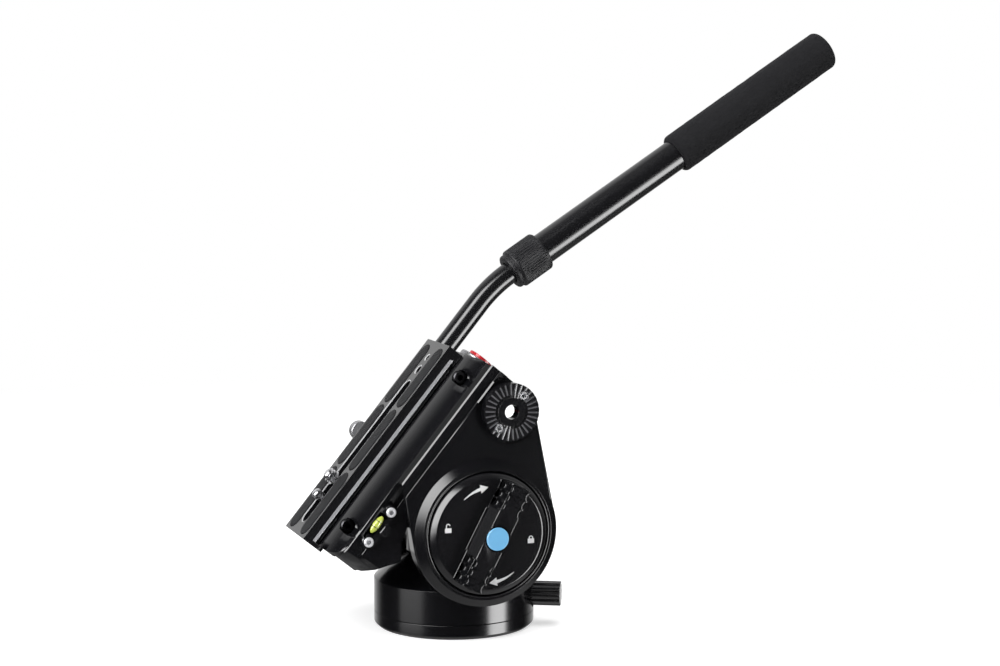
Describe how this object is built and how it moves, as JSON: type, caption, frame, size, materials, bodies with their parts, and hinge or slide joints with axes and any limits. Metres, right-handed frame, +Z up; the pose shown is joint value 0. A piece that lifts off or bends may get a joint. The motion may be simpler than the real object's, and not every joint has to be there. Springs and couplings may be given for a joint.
{
  "type": "fluid video head",
  "caption": "Fluid pan and tilt head for a video tripod: round base, tilting platform with sliding camera plate, tilt lock knob, toothed rosettes and a telescopic pan handle with foam grip.",
  "frame": {"origin": "middle of the bottom face, at the mouth of the tripod thread", "axes": "+Z up the pan axis; the tilt axis runs along Y; -X is the front of the camera platform, -Y the side with the tilt lock knob"},
  "size_m": [0.3054, 0.1386, 0.2786],
  "materials": {
    "black_anodised": "satin black anodised",
    "black_tube": "gloss black coated",
    "black_knob": "satin black",
    "steel": "bright turned steel",
    "rail_metal": "bright drawn metal",
    "plate_grey": "grey blasted",
    "bronze": "plain bronze",
    "drag_plastic": "natural plastic",
    "black_rubber": "fine ribbed rubber",
    "grip_foam": "matt foam",
    "blue": "plain sky blue",
    "red": "plain red",
    "grey_metal": "satin grey",
    "vial_green": "clear yellow-green"
  },
  "bodies": {
    "base": {"base_plate": "black_anodised", "tripod_insert": "steel", "pan_spindle": "steel", "base_screws": "steel", "pan_friction_ring": "drag_plastic", "spindle_nut": "steel"},
    "pan": {"pan_housing": "black_anodised", "tilt_column": "black_anodised", "column_screws": "steel", "pan_bush": "bronze", "tilt_bushes": "bronze", "drum_cap": "black_anodised"},
    "pan_lock_screw": {"pan_lock_screw": "steel", "pan_brake_shoe": "bronze"},
    "pan_lock_knob": {"pan_lock_knob": "black_knob"},
    "tilt": {"tilt_frame": "black_anodised", "near_cheek": "black_anodised", "far_cheek": "black_anodised", "cheek_screws": "steel", "receiver": "black_anodised", "receiver_screws": "steel", "fixed_rail": "rail_metal", "rail_screws": "steel", "tilt_axle": "steel", "drag_rotor": "drag_plastic", "lock_bezel": "black_anodised", "far_cover": "black_anodised", "cover_screws": "steel", "near_rosette": "black_anodised", "far_rosette": "black_anodised", "rosette_screws": "steel", "level_housing": "black_knob", "level_vial": "vial_green", "level_screws": "steel", "button_collar": "grey_metal", "button_spring": "steel"},
    "tilt_lock_knob": {"tilt_lock_knob": "black_knob", "knob_dot": "blue"},
    "tilt_brake": {"tilt_brake_pad": "bronze"},
    "safety_button": {"safety_button": "red"},
    "safety_latch": {"safety_latch": "steel"},
    "clamp_jaw": {"clamp_jaw": "rail_metal"},
    "plate_lock_knob": {"plate_lock_knob": "black_knob", "plate_lock_screw": "steel"},
    "plate": {"quick_plate": "plate_grey", "plate_pads": "black_rubber"},
    "screw_carrier": {"screw_washer": "black_knob"},
    "camera_screw": {"camera_screw": "steel"},
    "video_pin": {"video_pin": "steel"},
    "handle": {"handle_clamp": "black_anodised", "inner_tube": "black_tube", "tube_screw": "steel"},
    "handle_knob": {"handle_knob": "black_knob", "handle_bolt": "steel"},
    "outer_tube": {"outer_tube": "black_tube", "foam_grip": "grip_foam", "grip_plug": "black_knob", "collet": "drag_plastic"},
    "lock_collar": {"lock_collar": "black_rubber"}
  },
  "joints": [
    {"name": "pan_turn", "type": "hinge", "parent": "base", "child": "pan", "pos_m": [0, 0, 0.015], "axis": [0, 0, 1], "continuous": true},
    {"name": "tilt_turn", "type": "hinge", "parent": "pan", "child": "tilt", "pos_m": [0, 0, 0.051], "axis": [0, 1, 0], "range_deg": [-18, 110]},
    {"name": "pan_lock_feed", "type": "slide", "parent": "pan", "child": "pan_lock_screw", "axis": [-0.891, 0.454, 0], "range_m": [0, 0.0003]},
    {"name": "pan_lock_turn", "type": "hinge", "parent": "pan_lock_screw", "child": "pan_lock_knob", "pos_m": [0.0401, -0.02043, 0.01465], "axis": [-0.891, 0.454, 0], "range_deg": [0, 90]},
    {"name": "tilt_lock_turn", "type": "hinge", "parent": "tilt", "child": "tilt_lock_knob", "pos_m": [0, -0.05, 0.051], "axis": [0, -1, 0], "range_deg": [0, 110]},
    {"name": "tilt_brake_feed", "type": "slide", "parent": "tilt", "child": "tilt_brake", "axis": [0, -1, 0], "range_m": [0, 0.0004]},
    {"name": "plate_slide", "type": "slide", "parent": "tilt", "child": "plate", "axis": [0.6361, 0, 0.7716], "range_m": [-0.012, 0.015]},
    {"name": "plate_lock_turn", "type": "hinge", "parent": "tilt", "child": "plate_lock_knob", "pos_m": [-0.03361, 0.041, 0.08648], "axis": [0, 1, 0], "range_deg": [0, 180]},
    {"name": "clamp_jaw_feed", "type": "slide", "parent": "tilt", "child": "clamp_jaw", "axis": [0, 1, 0], "range_m": [0, 0.0005]},
    {"name": "button_press", "type": "slide", "parent": "tilt", "child": "safety_button", "axis": [-0.6361, 0, -0.7716], "range_m": [0, 0.003], "stiffness_N_per_m": 400, "springref_m": -0.003},
    {"name": "latch_drop", "type": "slide", "parent": "tilt", "child": "safety_latch", "axis": [0.7716, 0, -0.6361], "range_m": [0, 0.003]},
    {"name": "camera_screw_slide", "type": "slide", "parent": "plate", "child": "screw_carrier", "axis": [0.6361, 0, 0.7716], "range_m": [0, 0.015]},
    {"name": "camera_screw_turn", "type": "hinge", "parent": "screw_carrier", "child": "camera_screw", "pos_m": [-0.05744, 0, 0.0714], "axis": [-0.7716, 0, 0.6361], "continuous": true},
    {"name": "pin_slide", "type": "slide", "parent": "plate", "child": "video_pin", "axis": [-0.6361, 0, -0.7716], "range_m": [0, 0.008]},
    {"name": "handle_turn", "type": "hinge", "parent": "tilt", "child": "handle", "pos_m": [0.01072, 0.055, 0.10567], "axis": [0, 1, 0], "range_deg": [-90, 90]},
    {"name": "handle_lock_turn", "type": "hinge", "parent": "handle", "child": "handle_knob", "pos_m": [0.01072, 0.07, 0.10567], "axis": [0, 1, 0], "range_deg": [0, 270]},
    {"name": "tube_slide", "type": "slide", "parent": "handle", "child": "outer_tube", "axis": [0.8406, 0, 0.5417], "range_m": [0, 0.085]},
    {"name": "collar_twist", "type": "hinge", "parent": "outer_tube", "child": "lock_collar", "pos_m": [0.05711, 0.06, 0.16339], "axis": [0.8406, 0, 0.5417], "range_deg": [0, 60]}
  ],
  "couplings": [
    {"joint": "pan_lock_turn", "follows": "pan_lock_feed", "rad_per_m": 5236},
    {"joint": "tilt_lock_turn", "follows": "tilt_brake_feed", "rad_per_m": 4799.7},
    {"joint": "plate_lock_turn", "follows": "clamp_jaw_feed", "rad_per_m": 6283.2},
    {"joint": "latch_drop", "follows": "button_press", "ratio": 1}
  ]
}
